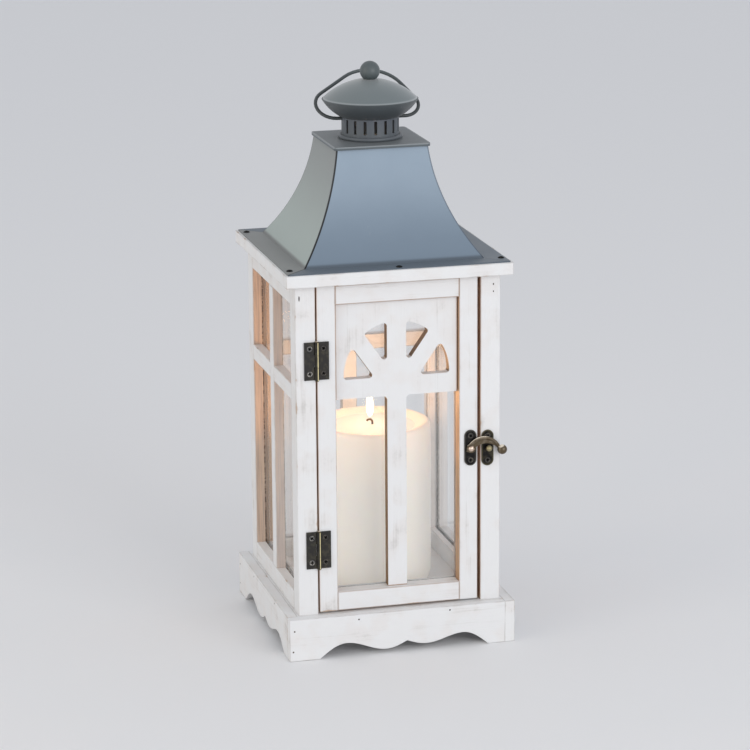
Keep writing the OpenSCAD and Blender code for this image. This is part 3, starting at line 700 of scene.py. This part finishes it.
class Bench:
    """Hand tools for new pieces: primitives shaped in edit mode and finished with modifiers."""

    @staticmethod
    def clear() -> None:
        """Deselects everything."""
        if bpy.context.object is not None and bpy.context.object.mode != "OBJECT":
            bpy.ops.object.mode_set(mode="OBJECT")
        bpy.ops.object.select_all(action="DESELECT")

    @staticmethod
    def take(piece: Piece) -> None:
        """Selects one piece alone and makes it the active one."""
        Bench.clear()
        piece.select_set(True)
        bpy.context.view_layer.objects.active = piece

    @staticmethod
    def disc(name: str, radius: float, sides: int, at: Point) -> Piece:
        """Lays a disc and opens it for editing.

        Args:
            name: The piece's name.
            radius: The disc's radius.
            sides: The number of sides.
            at: The disc's centre.

        Returns:
            The piece, in edit mode.
        """
        Bench.clear()
        bpy.ops.mesh.primitive_circle_add(
            vertices=sides, radius=radius, fill_type="NGON", location=at
        )
        piece = bpy.context.object
        piece.name = name
        bpy.ops.object.transform_apply(location=True, rotation=True, scale=True)
        bpy.ops.object.mode_set(mode="EDIT")
        return piece

    @staticmethod
    def close() -> None:
        """Turns the open piece's faces outward and ends its editing."""
        bpy.ops.mesh.select_all(action="SELECT")
        bpy.ops.mesh.normals_make_consistent(inside=False)
        bpy.ops.object.mode_set(mode="OBJECT")

    @staticmethod
    def turned(
        name: str,
        profile: list[tuple[float, float]],
        sides: int,
        at: Point = (0, 0, 0),
        bow: float = 0.0,
    ) -> Piece:
        """Draws a round solid up from a disc, ring by ring.

        Args:
            name: The piece's name.
            profile: The radius and height of each ring, from the foot to the top.
            sides: The number of sides.
            at: The foot of its axis.
            bow: How far the top leans to -X.

        Returns:
            The piece.
        """
        radius, height = profile[0]
        top = profile[-1][1]
        piece = Bench.disc(name, radius, sides, (at[0], at[1], at[2] + height))
        lean = 0.0
        for ring_radius, ring_height in profile[1:]:
            share = (ring_height - profile[0][1]) / (top - profile[0][1])
            next_lean = -bow * share * share
            bpy.ops.mesh.extrude_region_move(
                TRANSFORM_OT_translate={"value": (next_lean - lean, 0, ring_height - height)}
            )
            scale = ring_radius / radius
            bpy.ops.transform.resize(
                value=(scale, scale, 1),
                center_override=(at[0] + next_lean, at[1], at[2] + ring_height),
            )
            radius, height, lean = ring_radius, ring_height, next_lean
        Bench.close()
        return piece

    @staticmethod
    def apply(piece: Piece, kind: str, **settings: object) -> None:
        """Adds a modifier and applies it.

        Args:
            piece: The piece.
            kind: The modifier's type.
            settings: Its settings.
        """
        Bench.take(piece)
        modifier = piece.modifiers.new(kind.lower(), kind)
        for key, value in settings.items():
            setattr(modifier, key, value)
        bpy.ops.object.modifier_apply(modifier=modifier.name)

    @staticmethod
    def copies(name: str, master: Piece, places: list[Matrix]) -> Piece:
        """Sets copies of a piece at places and joins them, and removes the piece.

        Args:
            name: The name of the joined piece.
            master: The piece that is copied.
            places: Where each copy goes.

        Returns:
            The joined piece.
        """
        Bench.clear()
        made = []
        for place in places:
            copy = master.copy()
            copy.data = master.data.copy()
            bpy.context.scene.collection.objects.link(copy)
            copy.data.transform(place)
            copy.select_set(True)
            made.append(copy)
        bpy.context.view_layer.objects.active = made[0]
        if len(made) > 1:
            bpy.ops.object.join()
        bpy.data.objects.remove(master)
        joined = bpy.context.object
        joined.name = name
        return joined

    @staticmethod
    def smooth(piece: Piece, degrees: float) -> None:
        """Shades a piece smooth where its faces meet below an angle."""
        Bench.take(piece)
        bpy.ops.object.shade_smooth_by_angle(angle=math.radians(degrees))

    @staticmethod
    def seat(
        piece: Piece,
        body: str,
        slot: str,
        finishes: list[Material],
        *stands_for: str,
    ) -> None:
        """Dresses a piece and sets it on its body.

        Args:
            piece: The piece.
            body: The body that it rides on.
            slot: Not used.
            finishes: Its materials, by the numbers on its faces.
            stands_for: The nodes that it replaces.
        """
        numbers = [face.material_index for face in piece.data.polygons]
        piece.data.materials.clear()
        for finish in finishes:
            piece.data.materials.append(finish)
        piece.data.polygons.foreach_set("material_index", numbers)
        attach(piece, body)
        if stands_for:
            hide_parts(*stands_for)
        LOG.info("%s: %d faces on %s", piece.name, len(piece.data.polygons), body)


def dress(node: str, finish: Material) -> None:
    """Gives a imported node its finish.

    Args:
        node: The node.
        finish: The material.
    """
    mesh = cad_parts[node].data
    mesh.materials.clear()
    mesh.materials.append(finish)
    LOG.info("%s: %s", node, finish.name)


# ---- Sub-assemblies ----


@dataclass
class TimberBody:
    """The base, posts, window bars, door frame and roof board, with the nails that hold them."""

    wash: Whitewash = Whitewash()
    boards: tuple[str, ...] = (
        "floor_board", "cornice_board", "fret_panel", "skirt_", "sill_rail_", "head_rail_",
        "crossbar_", "mullion_", "post_", "door_stile_", "door_rail_",
    )
    seed_step: float = 13.7
    nail_radius: float = 0.0009
    nail_sides: int = 16
    skirt_nails: tuple[tuple[float, float], ...] = (
        (-88.1, 24.6), (-89.3, 7.7), (-36.1, 30.0), (38.4, 30.9)
    )
    post_nails: tuple[tuple[float, float, float], ...] = (
        (76.6, 291.1, 1.3), (76.6, 285.3, 1.0), (-78.8, 289.4, 3.2)
    )

    @staticmethod
    def grain_of(node: str) -> Grain:
        """Gives the axis that the grain of a board runs along.

        Args:
            node: The board.

        Returns:
            The axis.
        """
        if node.startswith(("post", "mullion", "door_stile", "fret")):
            return Grain.Z
        return Grain.Y if node.endswith(("left", "right")) else Grain.X

    def sawn_sides(self, node: str) -> list[SawnSide]:
        """Finds the sides of a board that show timber, barer where they face down, as painted
        shade.

        Args:
            node: The board.

        Returns:
            Those sides.
        """
        wall = -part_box("glass_left")[0].x
        door = (1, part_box("door_glass")[0].y)
        if node.startswith("fret"):
            # Painted shade: cut sides facing down or to -X are barer and darker than those facing
            # up or to +X.
            shares = {(1, 0, 0): 0.7, (-1, 0, 0): 1.1, (0, 0, 1): 0.1, (0, 0, -1): 0.9}
            return [SawnSide(way, share, darker_cut=0.8) for way, share in shares.items()]
        if node.startswith("door_stile"):
            return [SawnSide((s, 0, 0), 1.1, door) for s in (-1, 1)]
        if node.startswith("door_rail"):
            # Painted shade: the rail's underside is barer and darker than its top.
            return [SawnSide((0, 0, 1), 0.15, door), SawnSide((0, 0, -1), 0.9, door)]
        if node == "cornice_board":
            return [SawnSide((0, 0, -1), 0.7)]
        if node.startswith("post"):
            _, row, side = node.split("_")
            inward_y = 1 if row == "front" else -1
            inward_x = 1 if side == "left" else -1
            beside = (0, -inward_x * wall)
            if row == "front":
                return [SawnSide((0, 1, 0), 0.9, beside), SawnSide((inward_x, 0, 0), 1.1)]
            # The back-left post's inner side is barer than the back-right's, partly painting the
            # candle's warm light.
            share = 0.85 if side == "left" else 0.3
            behind = SawnSide((inward_x, 0, 0), 0.2, (1, wall))
            return [SawnSide((0, inward_y, 0), share, beside), behind]
        side = node.rsplit("_", 1)[-1]
        pane = {"left": (0, -wall), "right": (0, wall), "back": (1, wall)}.get(side)
        if node.startswith("mullion"):
            ways = [(1, 0, 0), (-1, 0, 0)] if side == "back" else [(0, 1, 0), (0, -1, 0)]
            return [SawnSide(way, 0.6, pane) for way in ways]
        if node.startswith(("crossbar", "sill_rail", "head_rail")):
            # Painted shade: the underside is barer and darker than the top side.
            return [SawnSide((0, 0, 1), 0.25, pane), SawnSide((0, 0, -1), 0.6, pane)]
        return []

    def seam_and_shade_of(self, node: str) -> float:
        """Gives how dark the line round a board is: a dark join and painted shade of a step."""
        return {"fret_panel": 0.8, "door_rail_top": 0.6, "door_rail_bottom": 0.3}.get(node, 0.0)

    def paint(self) -> None:
        """Dresses every board."""
        boards = sorted(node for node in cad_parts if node.startswith(self.boards))
        for order, node in enumerate(boards):
            seed, seam_and_shade = self.seed_step * order, self.seam_and_shade_of(node)
            sawn = self.sawn_sides(node)
            dress(node, self.wash.make(node, self.grain_of(node), seed, sawn, seam_and_shade))

    def nail_places(self) -> list[Matrix]:
        """Finds the nails of the base and posts.

        Returns:
            The place of each nail's head, which faces out.
        """
        outer = -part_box("skirt_front")[0].y
        post_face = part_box("post_front_left")[0].y
        found = []
        for turn in range(4):
            spin = Matrix.Rotation(turn * math.pi / 2, 4, "Z")
            for x, z in self.skirt_nails:
                found.append(spin @ Matrix.Translation((x * MM, -outer, z * MM)) @ self.forward())
            for x, z, length in self.post_nails if turn % 2 == 0 else ():
                slot = self.forward() @ Matrix.Diagonal((0.75, length, 1.0, 1.0))
                found.append(spin @ Matrix.Translation((x * MM, post_face, z * MM)) @ slot)
        return found

    @staticmethod
    def forward() -> Matrix:
        """Gives the turn from facing up to facing the front."""
        return Matrix.Rotation(math.pi / 2, 4, "X")

    def nails(self) -> None:
        """Sets the nail heads flush in the timber."""
        r = self.nail_radius
        rings = [(0.8 * r, -0.0006), (r, -0.0001), (0.72 * r, 0.00001)]
        head = Bench.turned("nail_head", rings, self.nail_sides)
        iron = DarkMetal("rusty_nail", (0.05, 0.035, 0.03), (0.16, 0.10, 0.07), 0.6, 0.6)
        piece = Bench.copies("nail_heads", head, self.nail_places())
        Bench.smooth(piece, 40)
        Bench.seat(piece, "lantern", "black_iron", [iron.make("heads")])


@dataclass
class Screws:
    """Cross-headed screws that stand in for the plain ones. A head without a dome is flat."""

    head_radius: float
    dome: float
    depth: float
    slot_width: float
    slot_reach: float
    iron: DarkMetal
    # Painted shade: a near-black finish for the faces deep in the cross.
    recess_shade: DarkMetal = DarkMetal(
        "recess_painted_shade", (0.006, 0.006, 0.006), (0.03, 0.03, 0.03), wear=0.2, roughness=0.7
    )
    sides: int = 28

    def head(self) -> Piece:
        """Models one screw head with its top at the origin, facing +Z.

        Returns:
            The head.
        """
        r = self.head_radius
        if self.dome:
            rings = [(0.98 * r, 0.0), (r, 0.18 * self.dome), (0.86 * r, 0.6 * self.dome)]
            rings += [(0.55 * r, 0.9 * self.dome), (0.25 * r, self.dome)]
        else:
            rings = [(0.5 * r, -0.5 * r), (0.97 * r, -0.03 * r), (0.93 * r, 0.0)]
        piece = Bench.turned("screw_head", rings, self.sides)
        top = rings[-1][1]
        Bench.clear()
        bpy.ops.mesh.primitive_cube_add(size=1, location=(0, 0, top))
        cutter = bpy.context.object
        cutter.scale = (2 * self.slot_reach, self.slot_width, 2 * self.depth)
        bpy.ops.object.transform_apply(location=True, rotation=True, scale=True)
        for turn in (0, 1):
            cutter.data.transform(Matrix.Rotation(turn * math.pi / 2, 4, "Z"))
            Bench.apply(piece, "BOOLEAN", operation="DIFFERENCE", object=cutter, solver="EXACT")
        bpy.data.objects.remove(cutter)
        # Faces deep in the cross take the second finish, their painted shade.
        for face in piece.data.polygons:
            inside = face.center.xy.length < 0.7 * r and face.center.z < top - 0.15 * self.depth
            face.material_index = int(inside)
        return piece

    def fit(self, node: str, body: str, places: list[Matrix]) -> None:
        """Puts screws at places in place of a node.

        Args:
            node: The node with the plain screws.
            body: The body that they ride on.
            places: The place of each head.
        """
        finishes = [self.iron.make(node), self.recess_shade.make(node)]
        master = self.head()
        for finish in finishes:
            master.data.materials.append(finish)
        piece = Bench.copies(f"{node}_crossed", master, places)
        Bench.smooth(piece, 35)
        Bench.seat(piece, body, "black_iron", finishes, node)


def heads_of(node: str, towards: Vector, turn: Matrix, sink: float = 0.0) -> list[Matrix]:
    """Finds the outer end of each separate screw in a node.

    Args:
        node: The node with the plain screws.
        towards: The way that the heads face.
        turn: The turn that makes +Z face that way.
        sink: How far below the outer end the head's seat is.

    Returns:
        The place of each head.
    """
    points = [v.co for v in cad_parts[node].data.vertices]
    best = max(p.dot(towards) for p in points)
    tops = [p for p in points if p.dot(towards) > best - SAME_HEIGHT]
    groups: list[list[Vector]] = []
    for p in tops:
        near = next((g for g in groups if (g[0] - p).length < SAME_SCREW), None)
        if near is None:
            groups.append([p])
        else:
            near.append(p)
    places = []
    for index, group in enumerate(groups):
        low = Vector(min(p[i] for p in group) for i in range(3))
        high = Vector(max(p[i] for p in group) for i in range(3))
        seat = (low + high) / 2 - towards * sink
        spin = Matrix.Rotation(SCREW_SPIN * index, 4, "Z")
        places.append(Matrix.Translation(seat) @ turn @ spin)
    return places


@dataclass
class Hardware:
    """The hinges, the latch and all their screws."""

    black: DarkMetal = DarkMetal("black_iron", (0.075, 0.070, 0.065), (0.30, 0.26, 0.20), 0.25)
    screw: DarkMetal = DarkMetal("worn_screw", (0.16, 0.155, 0.15), (0.50, 0.47, 0.42), 0.8, 0.32)
    # The arm gets a painted highlight on its upward sides.
    arm: DarkMetal = DarkMetal(
        "old_bronze", (0.10, 0.072, 0.040), (1.0, 0.90, 0.74), 0.08, 0.25, 0.45,
        shine_way=(-0.30, -0.15, 0.94), shine_from=0.74, shine_to=0.86,
    )
    # The leaves get a thin painted highlight line on the knuckle's forward side.
    leaf: DarkMetal = DarkMetal(
        "hinge_leaf", (0.040, 0.038, 0.036), (1.0, 0.88, 0.50), 0.03, 0.42,
        shine_way=(0.31, -0.95, 0.0), shine_from=0.972, shine_to=0.988,
    )
    rivet: DarkMetal = DarkMetal("worn_rivet", (0.72, 0.55, 0.43), (1.0, 0.88, 0.76), 1.0, 0.22)
    plate: DarkMetal = DarkMetal("black_plate", (0.013, 0.012, 0.012), (0.30, 0.28, 0.24), 0.08)
    peg_bright: Colour = (0.36, 0.31, 0.18)
    hook_stands: float = 0.003

    def metal(self) -> None:
        """Dresses the hinge leaves, pins and latch."""
        leaf = self.leaf.make("knuckle_highlight")
        for height in ("upper", "lower"):
            for side in ("post", "door"):
                dress(f"hinge_{height}_{side}_leaf", leaf)
        dress("hinge_pins", self.arm.make("pins"))
        dress("latch_arm", self.arm.make("arm"))
        dress("latch_rivet", self.rivet.make("head"))
        dress("latch_door_plate", self.plate.make("door", "latch_door_plate"))
        peg_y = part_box("latch_post_plate")[0].y + self.hook_stands
        peg_plate = DarkMetal("black_plate", self.plate.base, self.peg_bright, 0.1)
        dress("latch_post_plate", peg_plate.make("post", "latch_post_plate", peg_y))

    def screws(self) -> None:
        """Puts cross-headed screws in place of the plain ones."""
        forward = Matrix.Rotation(math.pi / 2, 4, "X")
        for node, body, iron in (
            ("hinge_screws_post", "lantern", self.screw),
            ("hinge_screws_door", "door", self.black),
            ("latch_screws_post", "lantern", self.black),
            ("latch_screws_door", "door", self.black),
        ):
            small = Screws(0.00225, 0.0, 0.0011, 0.0011, 0.0015, iron)
            small.fit(node, body, heads_of(node, Vector((0, -1, 0)), forward))
        top, up = Vector((0, 0, 1)), Matrix()
        round_top = Screws(0.0026, 0.0012, 0.0008, 0.0007, 0.0016, self.plate)
        seats = heads_of("roof_screws", top, up, round_top.dome)
        round_top.fit("roof_screws", "lantern", seats)
        big = Screws(0.0033, 0.0, 0.0014, 0.0008, 0.0021, self.black)
        below = heads_of("frame_screws", -top, Matrix.Rotation(math.pi, 4, "X"))
        above = heads_of("frame_screws", top, up)
        big.fit("frame_screws", "lantern", below + above)


@dataclass
class RoofAndCap:
    """The painted sheets of the roof, neck, cap and handle."""

    # Painted shade: the front and back sheets darken towards their foot.
    front: RoofPaint = RoofPaint("blue_grey_paint", (0.266, 0.343, 0.428), (0.180, 0.238, 0.305))
    # Painted light: the roof paint in the greyer tone that the right sheet shows under the light.
    mid: RoofPaint = RoofPaint(
        "right_sheet_lit_paint", (0.250, 0.300, 0.350), (0.250, 0.305, 0.335), sheen=0.15
    )
    # Painted light: the roof paint in the lighter, greener tone the left sheet shows, lightest at
    # its foot as a painted reflection.
    side: RoofPaint = RoofPaint(
        "left_sheet_lit_paint", (0.230, 0.245, 0.245), (0.370, 0.432, 0.410),
        flange_shade=(0.150, 0.158, 0.154), sheen=0.2,
    )
    # Painted shade: the cap darkens towards its foot.
    cap: RoofPaint = RoofPaint(
        "cap_grey_paint", (0.150, 0.180, 0.187), (0.105, 0.128, 0.145), 430.0, 414.0,
        coat=0.5, sheen=0.5,
    )
    # Painted shade: the bowl under the cap gets a darker copy of the cap paint, darker still at its
    # foot.
    under: RoofPaint = RoofPaint(
        "cap_bowl_shade_paint", (0.065, 0.078, 0.084), (0.040, 0.048, 0.054), 430.0, 414.0
    )
    crown: RoofPaint = RoofPaint(
        "crown_paint", (0.080, 0.100, 0.114), (0.080, 0.100, 0.114), sheen=0.15
    )
    # The neck is lighter at its foot, a painted highlight by the bead, and darker under the cap,
    # painted shade.
    neck: RoofPaint = RoofPaint(
        "neck_paint", (0.080, 0.094, 0.115), (0.110, 0.125, 0.140), 414.0, 398.0
    )
    # Painted shade: the handle and ball darken lower down.
    wire: RoofPaint = RoofPaint(
        "wire_paint", (0.085, 0.105, 0.110), (0.035, 0.043, 0.045), 452.0, 414.0, coat=0.5
    )

    def metal(self) -> None:
        """Dresses every sheet."""
        for way in ("front", "back"):
            dress(f"roof_{way}", self.front.make(way, True))
        dress("roof_left", self.side.make("left", True))
        dress("roof_right", self.mid.make("right", True))
        plain = self.cap.make("nut", False)
        dark = self.wire.make("handle", False)
        for node, finish in (
            ("cap_dome", self.cap.make("dome", False, "cap_dome")),
            ("finial_nut", plain),
            ("cap_bowl", self.under.make("bowl", False)),
            ("crown_plate", self.crown.make("plate", False, "crown_plate")),
            ("vent_neck", self.neck.make("neck", False)),
            ("finial_ball", dark),
            ("handle_bail", dark),
        ):
            dress(node, finish)


@dataclass
class Candle:
    """The pillar candle, its melted pool, wick and flame."""

    wax: Wax = Wax()
    fire: Burning = Burning()
    sides: int = 96
    rim: float = 0.0025
    wall: float = 0.007
    hollow: float = 0.0045
    pool_depth: float = 0.0048
    wick_radius: float = 0.00085
    wick_rise: float = 0.0032
    wick_turn: float = 0.0025
    wick_sunk: float = 0.0052
    wick_curl: float = math.radians(150)
    flame_height: float = 0.0274
    flame_radius: float = 0.0030
    flame_above: float = 0.0024
    flame_aside: float = 0.0003
    flame_bow: float = 0.0006
    flame_shape: tuple[tuple[float, float], ...] = (
        (0.25, 0.0), (0.62, 0.06), (0.86, 0.14), (0.98, 0.24), (1.0, 0.33), (0.93, 0.45),
        (0.78, 0.57), (0.58, 0.69), (0.38, 0.80), (0.21, 0.89), (0.08, 0.96), (0.01, 1.0),
    )

    def pillar(self) -> None:
        """Models the wax with its soft rim and sunken top."""
        low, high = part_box("candle")
        r = (high.x - low.x) / 2 * 0.9995
        h = high.z - low.z
        pool = h - self.hollow
        rings = [(r - 0.001, 0.0002), (r, 0.0014), (r, 0.3 * h), (r, 0.7 * h), (r, h - 0.006)]
        rings += [(r - 0.0004, h - self.rim), (r - 0.0016, h - 0.0007), (r - 0.0034, h - 0.0001)]
        rings += [(r - self.wall, h - 0.0012), (r - self.wall - 0.003, h - 0.0032)]
        rings += [(r - self.wall - 0.007, pool), (0.6 * r, pool - 0.0003), (0.1 * r, pool - 0.0003)]
        piece = Bench.turned("candle_wax", rings, self.sides, (0, 0, low.z))
        Bench.apply(piece, "SUBSURF", levels=1, render_levels=1)
        Bench.smooth(piece, 60)
        Bench.seat(piece, "lantern", "wax", [self.wax.make("ivory_wax", False)], "candle")

    def pool(self) -> None:
        """Models the melted wax that lies in the top."""
        low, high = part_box("candle")
        r = (high.x - low.x) / 2 - self.wall - self.hollow
        z = high.z - self.pool_depth
        rings = [(r - 0.0006, z), (r + 0.0004, z + 0.0009), (r - 0.0012, z + 0.0008)]
        rings += [(0.5 * r, z + 0.00075), (0.0035, z + 0.00078), (0.0018, z + 0.0009)]
        rings += [(0.0010, z + 0.0011)]
        piece = Bench.turned("melted_pool", rings, self.sides)
        Bench.smooth(piece, 60)
        Bench.seat(piece, "lantern", "wax", [self.wax.make("melted_wax", True)])

    def flame(self) -> None:
        """Models the flame over the wick."""
        low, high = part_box("wick")
        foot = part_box("candle")[1].z + self.flame_above
        tip = foot + self.flame_height
        rings = [
            (share * self.flame_radius, foot + up * self.flame_height)
            for share, up in self.flame_shape
        ]
        middle = ((low.x + high.x) / 2 - self.flame_aside, 0, 0)
        piece = Bench.turned("flame", rings, 32, middle, self.flame_bow)
        Bench.apply(piece, "SUBSURF", levels=1, render_levels=1)
        Bench.smooth(piece, 80)
        piece.visible_shadow = False
        Bench.seat(piece, "lantern", "wick", [self.fire.flame(foot, tip)])

    def curl(self) -> None:
        """Models the charred wick, which curls over in the flame."""
        foot_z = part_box("candle")[1].z - self.wick_sunk
        piece = Bench.disc("curled_wick", self.wick_radius, 12, (0, 0, foot_z))
        bpy.ops.mesh.extrude_region_move(TRANSFORM_OT_translate={"value": (0, 0, self.wick_rise)})
        bpy.ops.mesh.spin(
            steps=9,
            angle=self.wick_curl,
            center=(-self.wick_turn, 0, foot_z + self.wick_rise),
            axis=(0, 1, 0),
        )
        bpy.ops.mesh.select_all(action="SELECT")
        bpy.ops.mesh.remove_doubles(threshold=0.00001)
        Bench.close()
        Bench.smooth(piece, 50)
        Bench.seat(piece, "lantern", "wick", [self.fire.wick(foot_z + self.wick_rise)], "wick")


# ---- Studio ----


@dataclass
class Studio:
    """A pale floor, soft lamps, the candle's own light and the camera."""

    aim_azimuth: float = -14.705
    aim_down: float = 14.546
    roll: float = -0.403
    stand: Point = (-0.61283, -2.34457, 0.83184)
    focal_pixels: float = 3117.87
    frame_pixels: float = 750.0
    floor_colour: Colour = (0.84, 0.84, 0.85)
    floor_size: float = 30.0
    floor_gap: float = 0.0002
    sky: Colour = (0.80, 0.82, 0.86)
    sky_strength: float = 0.82
    lamp_size: float = 1.8
    lamp_aim: Point = (0, 0, 0.2)
    key_at: Point = (1.1, -3.0, 1.1)
    key_power: float = 33.0
    fill_at: Point = (-2.6, -0.9, 0.9)
    fill_power: float = 15.0
    fill_colour: Colour = (1.0, 0.90, 0.72)
    candle_power: float = 0.46
    candle_colour: Colour = (1.0, 0.54, 0.25)
    candle_soft: float = 0.008
    candle_smooth: float = 0.010
    candle_above: float = 0.014
    candle_aside: float = 0.002

    def camera(self) -> None:
        """Sets the camera."""
        data = bpy.data.cameras.new("camera")
        data.sensor_width = SENSOR
        data.lens = self.focal_pixels / self.frame_pixels * data.sensor_width
        data.clip_start, data.clip_end = 0.05, 60.0
        a, e, r = (math.radians(v) for v in (self.aim_azimuth, self.aim_down, self.roll))
        back = Vector((math.sin(a) * math.cos(e), -math.cos(a) * math.cos(e), math.sin(e)))
        right = (-back).cross(Vector((0, 0, 1))).normalized()
        up = right.cross(-back)
        turned_right = right * math.cos(r) + up * math.sin(r)
        turned_up = up * math.cos(r) - right * math.sin(r)
        columns = Matrix((turned_right, turned_up, back)).transposed().to_4x4()
        camera = bpy.data.objects.new("camera", data)
        camera.matrix_world = Matrix.Translation(self.stand) @ columns
        bpy.context.scene.collection.objects.link(camera)
        bpy.context.scene.camera = camera

    def floor(self) -> None:
        """Lays the plain floor."""
        Bench.clear()
        bpy.ops.mesh.primitive_plane_add(size=self.floor_size, location=(0, 0, -self.floor_gap))
        plane = bpy.context.object
        plane.name = "floor"
        g = Graph("pale_floor")
        plane.data.materials.append(g.finish(Base_Color=self.floor_colour, Roughness=0.85))

    def world(self) -> None:
        """Lights everything softly from all round."""
        world = bpy.data.worlds.new("soft_sky")
        world.use_nodes = True
        sky = world.node_tree.nodes["Background"]
        sky.inputs["Color"].default_value = (*self.sky, 1.0)
        sky.inputs["Strength"].default_value = self.sky_strength
        bpy.context.scene.world = world

    def lamp(self, name: str, place: Point, power: float, colour: Colour) -> None:
        """Hangs a soft square lamp that looks at the lantern.

        Args:
            name: Its name.
            place: Where it hangs.
            power: Its power in watts.
            colour: Its colour.
        """
        data = bpy.data.lights.new(name, "AREA")
        data.shape = "SQUARE"
        data.size, data.energy, data.color = self.lamp_size, power, colour
        lamp = bpy.data.objects.new(name, data)
        lamp.location = place
        way = Vector(self.lamp_aim) - Vector(place)
        lamp.rotation_euler = way.to_track_quat("-Z", "Y").to_euler()
        bpy.context.scene.collection.objects.link(lamp)

    def candlelight(self) -> None:
        """Puts the flame's own light inside the lantern, soft enough not to bleach the wax."""
        data = bpy.data.lights.new("candlelight", "POINT")
        data.energy, data.color = self.candle_power, self.candle_colour
        data.shadow_soft_size = self.candle_soft
        g = Graph("candlelight", data)
        soft = {"Strength": 1.0, "Smooth": self.candle_smooth}
        strength = g.add("ShaderNodeLightFalloff", None, soft)
        glow = g.add("ShaderNodeEmission", None, {"Color": WHITE, "Strength": strength})
        g.add("ShaderNodeOutputLight", None, {"Surface": glow})
        light = bpy.data.objects.new("candlelight", data)
        light.location = (-self.candle_aside, 0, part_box("wick")[1].z + self.candle_above)
        bpy.context.scene.collection.objects.link(light)

    def build(self) -> None:
        """Sets up the whole studio."""
        self.camera()
        self.floor()
        self.world()
        self.lamp("key", self.key_at, self.key_power, WHITE)
        self.lamp("fill", self.fill_at, self.fill_power, self.fill_colour)
        self.candlelight()
        bpy.context.scene.view_settings.view_transform = "Standard"


def main() -> None:
    """Builds the lantern's looks and its studio."""
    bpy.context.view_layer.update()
    studio = Studio()
    studio.build()
    body = TimberBody()
    body.paint()
    body.nails()
    glass = Glazing().make()
    for node in ("glass_left", "glass_right", "glass_back", "door_glass"):
        dress(node, glass)
    hardware = Hardware()
    hardware.metal()
    hardware.screws()
    RoofAndCap().metal()
    candle = Candle()
    candle.pillar()
    candle.pool()
    candle.curl()
    candle.flame()


if __name__ == "__main__":
    logging.basicConfig(level=logging.INFO, format="%(message)s")
    main()
